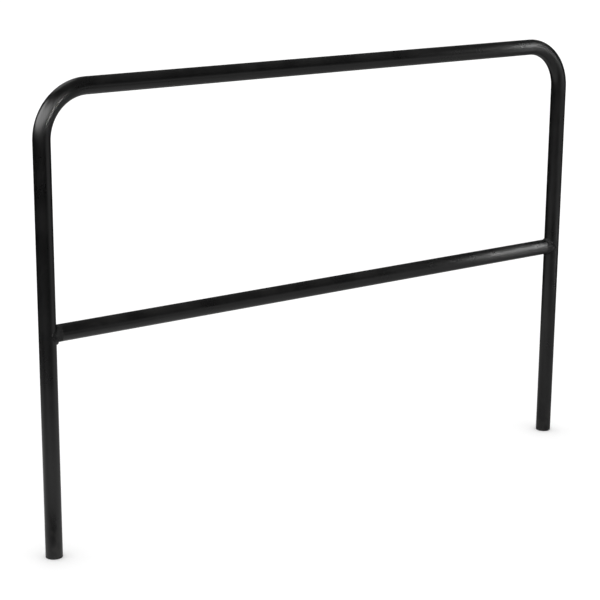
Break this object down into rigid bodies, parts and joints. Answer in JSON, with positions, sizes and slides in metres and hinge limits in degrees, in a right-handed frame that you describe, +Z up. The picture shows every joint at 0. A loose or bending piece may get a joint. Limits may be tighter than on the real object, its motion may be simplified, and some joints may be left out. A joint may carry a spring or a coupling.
{
  "type": "pool handrail",
  "caption": "Pool handrail: a black-coated round tube bent into a square-shouldered hoop, with a crossbar welded between its straight legs and plugged feet.",
  "frame": {"origin": "midway between the two feet, at the height of their undersides", "axes": "+X along the rail towards the right leg, +Y through the rail's thickness to its back, +Z up"},
  "size_m": [1.524, 0.042, 1.05],
  "materials": {
    "tube_coat": "semi-gloss black powder coat on steel tube",
    "weld_coat": "semi-gloss black powder coat over a rippled weld",
    "plug_plastic": "black moulded plastic"
  },
  "bodies": {
    "root": {"hoop": "tube_coat", "crossbar": "tube_coat", "weld_bead_left": "weld_coat", "weld_bead_right": "weld_coat", "foot_plug_left": "plug_plastic", "foot_plug_right": "plug_plastic"}
  },
  "joints": []
}
